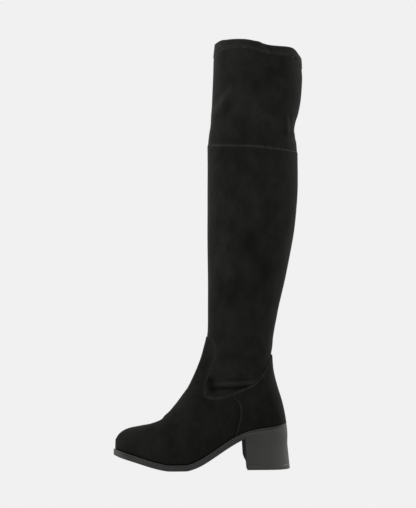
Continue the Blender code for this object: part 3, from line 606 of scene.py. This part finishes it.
def dressed(
    name, node, levels, folds, outside, inside=None, meets=(), lap=SEAM_LAP, rub=None, thin_at=None
):
    """A finished leather piece that stands for a CAD node.

    meets names the nodes that its rims are drawn to, rub is a table of how
    much its rims are rubbed, and thin_at the node that it gets thinner at.
    """
    mesh, rims = merged_copy(node, SUEDE_CREASE)
    made = smoothed(make_object(name, mesh, outside, inside or outside), levels)
    closed(made, meets, lap)
    if thin_at is not None:
        skived(made, thin_at)
    edges = rim_tree(rims)
    mesh = bmesh.new()
    mesh.from_mesh(made.data)
    mesh.normal_update()
    wear_and_highlight = mesh.verts.layers.float.new("wear_and_highlight")
    shade = mesh.verts.layers.float.new("shade")
    moves = []
    for vert in mesh.verts:
        away = from_axis(vert.co)
        facing = vert.normal.dot(away)
        out = vert.normal if facing > 0.0 else -vert.normal
        out = away.lerp(out, ease(OUTWARD_FROM, OUTWARD_TO, abs(facing))).normalized()
        height = fold_height(folds, vert.co)
        soft = SOFTNESS * noise.noise(vert.co * SOFT_SCALE)
        moves.append((vert, out * (height + soft + FULLNESS) + collar_move(vert.co)))
        # Painted shadow along the sole, where the upper meets it
        sole_shadow = 1.0 - ease(SOLE_SHADOW_FROM, SOLE_SHADOW_TO, sole_distance(vert.co))
        # Painted highlight on fold ridges, added to the rim wear
        ridge = RIDGE_LIGHT * max(0.0, height) / FOLD_FULL
        lightening = 1.0 - ease(WORN_FROM, WORN_TO, edges.find(vert.co)[2])
        if rub is not None and vert.co.z < RUB_TOP:
            lightening *= along(rub, vert.co.x)
        vert[wear_and_highlight] = max(lightening, ridge) * (1.0 - sole_shadow)
        # Painted shade in fold valleys and along the sole
        vert[shade] = max(sole_shadow, min(1.0, -height / FOLD_FULL))
    for vert, move in moves:
        vert.co += move
    for face in mesh.faces:
        face.smooth = True
        if inside is not None:
            centre = face.calc_center_median()
            face.material_index = 1 if face.normal.dot(from_axis(centre)) < -INSIDE_FACING else 0
    mesh.to_mesh(made.data)
    mesh.free()
    return placed(made, node)


def heel_move(point):
    """How the heel swells to the sole's edge and laps it, and its inner breast corner is cut."""
    high = ease(SEAT_FROM, SEAT_TO, point.z)
    away = Vector((max(0.0, point.x - HEEL_MIDDLE), point.y, 0.0)).normalized()
    cut = CORNER_CUT * (1.0 - ease(0.0, CORNER_HIGH, point.z)) * ease(0.0, HEEL_HALF, point.y)
    cut *= 1.0 - ease(HEEL_BREAST, HEEL_MIDDLE, point.x)
    return away * HEEL_SWELL * high + Vector((cut, 0.0, SEAT_LAP * high))


def toe_move(point):
    """How the sole's tip reaches forward and the toe's edge drops."""
    share = 1.0 - ease(TOE_TIP, TOE_ROOT, point.x)
    return Vector((-TOE_REACH * share, 0.0, -TOE_DROP * share))


def still(point):
    """No move at all."""
    return Vector((0.0, 0.0, 0.0))


def on_breast(face):
    """Whether a face of the heel or its lift belongs to the breast."""
    depth = abs(face.calc_center_median().x - HEEL_BREAST)
    return face.normal.x < -BREAST_FACING and depth < BREAST_DEEP


def moulded(name, node, levels, finishes, tuck, shape=still):
    """A finished rubber piece, its edges rounded and its top drawn up by a tuck."""
    mesh, rims = merged_copy(node, 0.0)
    sharp = [edge for edge in mesh.edges if edge.calc_face_angle(0.0) > RIM_ANGLE]
    bmesh.ops.bevel(
        mesh,
        geom=sharp,
        offset=RUBBER_BEVEL,
        segments=2,
        profile=0.5,
        affect="EDGES",
        material=-1,
        clamp_overlap=True,
    )
    made = smoothed(make_object(name, mesh, *finishes), levels)
    edges = rim_tree(rims)
    mesh = bmesh.new()
    mesh.from_mesh(made.data)
    mesh.normal_update()
    wear_and_highlight = mesh.verts.layers.float.new("wear_and_highlight")
    for vert in mesh.verts:
        lightening = EDGE_RUB * (1.0 - ease(WORN_FROM, WORN_TO, edges.find(vert.co)[2]))
        # Dust on the rims, and dust with painted highlight by X place, brightest at the toe tip and
        # the heel's back
        vert[wear_and_highlight] = max(lightening, along(RUBBER_DUST_AND_HIGHLIGHT, vert.co.x))
    for face in mesh.faces:
        face.smooth = True
        # Breast faces take the darker copy of the rubber, as painted shade
        if len(finishes) > 1 and on_breast(face):
            face.material_index = 1
    for vert in mesh.verts:
        if vert.normal.z > TOP_FACING:
            vert.co.z += tuck
        vert.co += shape(vert.co)
    mesh.to_mesh(made.data)
    mesh.free()
    return placed(made, node)


def placed(made, node):
    """The piece on the boot's one body, in the place of its CAD node."""
    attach(made, "root")
    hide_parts(node)
    return made


def surface_of(node):
    """The surface of a CAD node, for finding its nearest point."""
    mesh = bmesh.new()
    mesh.from_mesh(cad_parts[node].data)
    tree = BVHTree.FromBMesh(mesh)
    mesh.free()
    return tree


SOLE_SURFACE = surface_of("outsole")


def sole_distance(point):
    return SOLE_SURFACE.find_nearest(point)[3]


vamp = dressed(
    "vamp_and_tab",
    "upper",
    levels=2,
    folds=VAMP_FOLDS,
    outside=FOOT_SUEDE,
    meets=("shaft",),
    rub=SEAM_RUB,
)
quarter = dressed(
    "heel_counter",
    "counter",
    levels=2,
    folds=[],
    outside=FOOT_SUEDE,
    thin_at="shaft",
)
leg = dressed(
    "leg_shaft",
    "shaft",
    levels=3,
    folds=ANKLE_FOLDS,
    outside=LEG_SUEDE,
    inside=LEG_LINING,
    meets=("upper", "thigh_panel"),
    rub=SEAM_RUB,
)
dressed(
    "knee_panel",
    "thigh_panel",
    levels=3,
    folds=KNEE_FOLDS + COLLAR_FOLDS,
    outside=LEG_SUEDE,
    inside=LEG_LINING,
    meets=("shaft", "collar_band"),
)
hem = dressed(
    "collar_hem",
    "collar_band",
    levels=3,
    folds=KNEE_FOLDS + COLLAR_FOLDS,
    outside=HEM_SUEDE,
    inside=LEG_LINING,
    meets=("thigh_panel",),
    lap=HEM_LAP,
)
moulded("sole_unit", "outsole", 2, [SOLE_RUBBER], tuck=0.0, shape=toe_move)
moulded("block_heel", "heel", 2, [HEEL_RUBBER, SHADED_BREAST_RUBBER], tuck=0.0, shape=heel_move)
moulded(
    "heel_lift",
    "top_lift",
    2,
    [LIFT_RUBBER, SHADED_BREAST_RUBBER],
    tuck=RUBBER_TUCK,
    shape=heel_move,
)
moulded("sock_lining", "insole", 1, [SOCK_CLOTH], tuck=0.0)

# Stitches


def skin(*pieces):
    """The outer faces of finished pieces, for laying stitches on them."""
    mesh = bmesh.new()
    for piece in pieces:
        mesh.from_mesh(piece.data)
    tree = BVHTree.FromBMesh(mesh)
    mesh.free()
    return tree


def spaced(points, pitch):
    """Points a pitch apart along a line of points."""
    kept = []
    due = 0.5 * pitch
    for start, end in zip(points, points[1:]):
        length = (end - start).length
        while due <= length:
            kept.append(start.lerp(end, due / length))
            due += pitch
        due -= length
    return kept


def side_path(tree, line, side):
    """A line of (X, height) pairs laid on one side of the boot."""
    points = []
    for (x0, z0), (x1, z1) in zip(line, line[1:]):
        for step in range(PATH_STEPS):
            share = step / PATH_STEPS
            start = Vector((x0 + (x1 - x0) * share, side * PATH_OUT, z0 + (z1 - z0) * share))
            hit, normal, _, _ = tree.ray_cast(start, Vector((0.0, -side, 0.0)))
            if hit is not None:
                points.append((hit, normal))
    return points


def ring_path(tree, line):
    """A line of (X, height) pairs laid round the leg."""
    points = []
    height = line[0][1]
    for step in range(-RING_LEAD, RING_STEPS + 1):
        turn = math.pi + 2.0 * math.pi * step / RING_STEPS
        away = Vector((math.cos(turn), math.sin(turn), 0.0))
        start = Vector((along(AXIS, height), 0.0, height)) + away * PATH_OUT
        hit, normal, _, reach = tree.ray_cast(start, -away)
        if hit is None or reach > PATH_OUT:
            continue
        height = along(line, hit.x)
        if step >= 0:
            points.append((hit, normal))
    return points


def stitched(name, paths, pitch=STITCH_PITCH, thick=STITCH_THICK):
    """One object with a row of stitches along each path."""
    seed = bmesh.new()
    bmesh.ops.create_uvsphere(seed, u_segments=STITCH_SIDES, v_segments=STITCH_RINGS, radius=1.0)
    bmesh.ops.scale(seed, vec=(0.5 * STITCH_LENGTH, thick, thick), verts=seed.verts[:])
    single = bpy.data.meshes.new("one_stitch")
    seed.to_mesh(single)
    seed.free()
    mesh = bmesh.new()
    for path in paths:
        spots = spaced([point for point, _ in path], pitch)
        tree = kdtree.KDTree(len(path))
        for index, (point, _) in enumerate(path):
            tree.insert(point, index)
        tree.balance()
        for here, after in zip(spots, spots[1:] + [spots[-1] * 2.0 - spots[-2]]):
            normal = path[tree.find(here)[1]][1]
            run = (after - here).normalized()
            cross = normal.cross(run).normalized()
            up = run.cross(cross).normalized()
            turn = Matrix((run, cross, up)).transposed().to_4x4()
            place = Matrix.Translation(here + up * STITCH_RISE) @ turn
            laid = single.copy()
            laid.transform(place)
            mesh.from_mesh(laid)
            bpy.data.meshes.remove(laid)
    bpy.data.meshes.remove(single)
    for face in mesh.faces:
        face.smooth = True
    row = make_object(name, mesh, BLACK_THREAD)
    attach(row, "root")


FOOT_SKIN = skin(vamp, quarter)
QUARTER_SKIN = skin(quarter)
LEG_SKIN = skin(leg)
HEM_SKIN = skin(hem)
SIDES = (-1.0, 1.0)

# Rows of stitches in the side view: X place and height
TAB_ROWS = [
    [
        (-0.0958, 0.1050),
        (-0.0925, 0.1200),
        (-0.0870, 0.1410),
        (-0.0815, 0.1600),
        (-0.0806, 0.1720),
        (-0.0828, 0.1810),
    ],
    [
        (-0.0978, 0.1060),
        (-0.0945, 0.1200),
        (-0.0890, 0.1420),
        (-0.0836, 0.1600),
        (-0.0828, 0.1710),
        (-0.0845, 0.1770),
    ],
]
SEAM_ROW = [
    (-0.0900, 0.1008),
    (-0.0700, 0.1005),
    (-0.0490, 0.1085),
    (-0.0290, 0.1180),
    (-0.0180, 0.1265),
]
COUNTER_ROW = [
    (-0.0520, 0.1035),
    (-0.0425, 0.0955),
    (-0.0408, 0.0890),
    (-0.0412, 0.0760),
    (-0.0440, 0.0640),
    (-0.0468, 0.0560),
]
KNEE_ROW = [
    (-0.0880, 0.4636),
    (-0.0700, 0.4624),
    (-0.0280, 0.4608),
    (0.0025, 0.4578),
    (0.0320, 0.4558),
    (0.0446, 0.4538),
]
HEM_ROW = [
    (-0.0770, 0.6025),
    (-0.0680, 0.6058),
    (-0.0400, 0.6052),
    (-0.0180, 0.6006),
    (-0.0065, 0.5968),
    (0.0300, 0.5960),
    (0.0450, 0.5825),
]


def on_both_sides(tree, *rows):
    """Rows of stitches on the outer and the inner side."""
    return [side_path(tree, row, side) for row in rows for side in SIDES]


stitched("tab_stitches", on_both_sides(FOOT_SKIN, *TAB_ROWS), TAB_PITCH, TAB_THICK)
stitched("side_seam_stitches", on_both_sides(FOOT_SKIN, SEAM_ROW))
stitched("counter_stitches", on_both_sides(QUARTER_SKIN, COUNTER_ROW))
stitched("knee_seam_stitches", [ring_path(LEG_SKIN, KNEE_ROW)])
stitched("hem_stitches", [ring_path(HEM_SKIN, HEM_ROW)])

# Stage
PALE = (0.878, 0.878, 0.878)
FLOOR_SIZE = 30.0
FLOOR_LIGHT = 0.45
WORLD_LIGHT = 0.60
LEVEL = math.radians(90.0)


def glow(name, color, unseen):
    """A plain shader of full strength to the camera, and of less as a light."""
    made = bpy.data.materials.new(name)
    made.use_nodes = True
    tree = made.node_tree
    tree.nodes.clear()
    out = tree.nodes.new("ShaderNodeOutputMaterial")
    emit = tree.nodes.new("ShaderNodeEmission")
    emit.inputs["Color"].default_value = (*color, 1.0)
    ray = tree.nodes.new("ShaderNodeLightPath").outputs["Is Camera Ray"]
    tree.links.new(ramp(tree, ray, 0.0, 1.0, unseen, 1.0), emit.inputs["Strength"])
    tree.links.new(emit.outputs["Emission"], out.inputs["Surface"])
    return made


floor_mesh = bmesh.new()
bmesh.ops.create_grid(floor_mesh, x_segments=1, y_segments=1, size=FLOOR_SIZE)
floor = make_object("floor", floor_mesh, glow("pale_floor", PALE, FLOOR_LIGHT))

world = bpy.data.worlds.new("studio")
bpy.context.scene.world = world
world.use_nodes = True
backdrop = world.node_tree.nodes["Background"]
backdrop.inputs["Color"].default_value = (*PALE, 1.0)
world_ray = world.node_tree.nodes.new("ShaderNodeLightPath").outputs["Is Camera Ray"]
world_strength = ramp(world.node_tree, world_ray, 0.0, 1.0, WORLD_LIGHT, 1.0)
world.node_tree.links.new(world_strength, backdrop.inputs["Strength"])

Lamp = namedtuple("Lamp", "name place aim size power")
LAMPS = [
    Lamp("key_softbox", (-0.9, -1.6, 1.5), (-0.05, 0.0, 0.35), 1.2, 16.0),
    Lamp("back_softbox", (1.3, 0.5, 0.9), (0.0, 0.0, 0.25), 0.9, 8.0),
    Lamp("front_softbox", (-1.3, 0.5, 1.8), (-0.05, 0.0, 0.30), 0.9, 13.0),
]
for lamp in LAMPS:
    light = bpy.data.lights.new(lamp.name, "AREA")
    light.shape = "SQUARE"
    light.size = lamp.size
    light.energy = lamp.power
    holder = bpy.data.objects.new(lamp.name, light)
    holder.location = lamp.place
    aim = Vector(lamp.aim) - Vector(lamp.place)
    holder.rotation_euler = aim.to_track_quat("-Z", "Y").to_euler()
    bpy.context.scene.collection.objects.link(holder)

lens = bpy.data.cameras.new("camera")
lens.sensor_fit = "VERTICAL"
lens.sensor_height = SENSOR_HEIGHT
lens.lens = SENSOR_HEIGHT * FOCAL_PIXELS / IMAGE_HEIGHT
camera = bpy.data.objects.new("camera", lens)
camera.location = (
    -CAMERA_DISTANCE * math.sin(CAMERA_YAW) - CAMERA_SIDE * math.cos(CAMERA_YAW),
    -CAMERA_DISTANCE * math.cos(CAMERA_YAW) + CAMERA_SIDE * math.sin(CAMERA_YAW),
    CAMERA_HEIGHT,
)
camera.rotation_euler = (LEVEL, 0.0, -CAMERA_YAW)
bpy.context.scene.collection.objects.link(camera)
bpy.context.scene.camera = camera
bpy.context.scene.view_settings.view_transform = "Standard"
